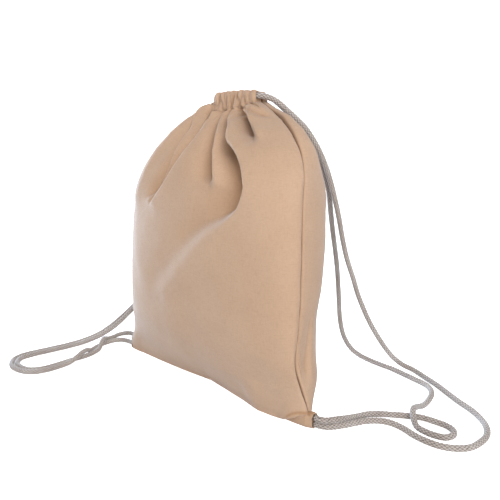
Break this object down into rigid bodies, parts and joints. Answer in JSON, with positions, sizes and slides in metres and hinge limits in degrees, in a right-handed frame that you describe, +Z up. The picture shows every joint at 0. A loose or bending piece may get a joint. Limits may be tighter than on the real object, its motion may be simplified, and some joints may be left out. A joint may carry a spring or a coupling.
{
  "type": "drawstring backpack",
  "caption": "Cotton canvas sack with a gathered drawstring mouth; each drawcord runs through the casing and on to a bottom corner as a shoulder strap.",
  "frame": {"origin": "centre of the bag's footprint box (cords left out) on the surface it stands on", "axes": "+Z up to the mouth, front panel faces -Y, +X to the right as seen from the front"},
  "size_m": [0.608, 0.4076, 0.386],
  "materials": {
    "canvas": "matte plain-weave cotton",
    "hem": "matte plain-weave cotton, doubled",
    "rope": "matte twisted cotton cord",
    "thread": "matte sewing thread"
  },
  "bodies": {
    "bag": {"front_panel": "canvas", "back_panel": "canvas", "front_casing": "hem", "back_casing": "hem", "right_cord_ends": "rope", "left_cord_ends": "rope", "right_corner_tab": "hem", "left_corner_tab": "hem", "right_bartack": "thread", "left_bartack": "thread", "right_seam_allowance": "canvas", "left_seam_allowance": "canvas", "bottom_seam_allowance": "canvas", "right_seam_thread": "thread", "left_seam_thread": "thread", "bottom_seam_thread": "thread", "front_casing_thread": "thread", "back_casing_thread": "thread"},
    "right_drawcord": {"right_cord_run": "rope", "right_strand_front": "rope", "right_strand_back": "rope"},
    "left_drawcord": {"left_cord_run": "rope", "left_strand_front": "rope", "left_strand_back": "rope"}
  },
  "joints": [
    {"name": "right_drawcord_pull", "type": "slide", "parent": "bag", "child": "right_drawcord", "axis": [1, 0, 0], "range_m": [0, 0.012], "deforming": ["right_strand_front", "right_strand_back"]},
    {"name": "left_drawcord_pull", "type": "slide", "parent": "bag", "child": "left_drawcord", "axis": [-1, 0, 0], "range_m": [0, 0.012], "deforming": ["left_strand_front", "left_strand_back"]}
  ]
}
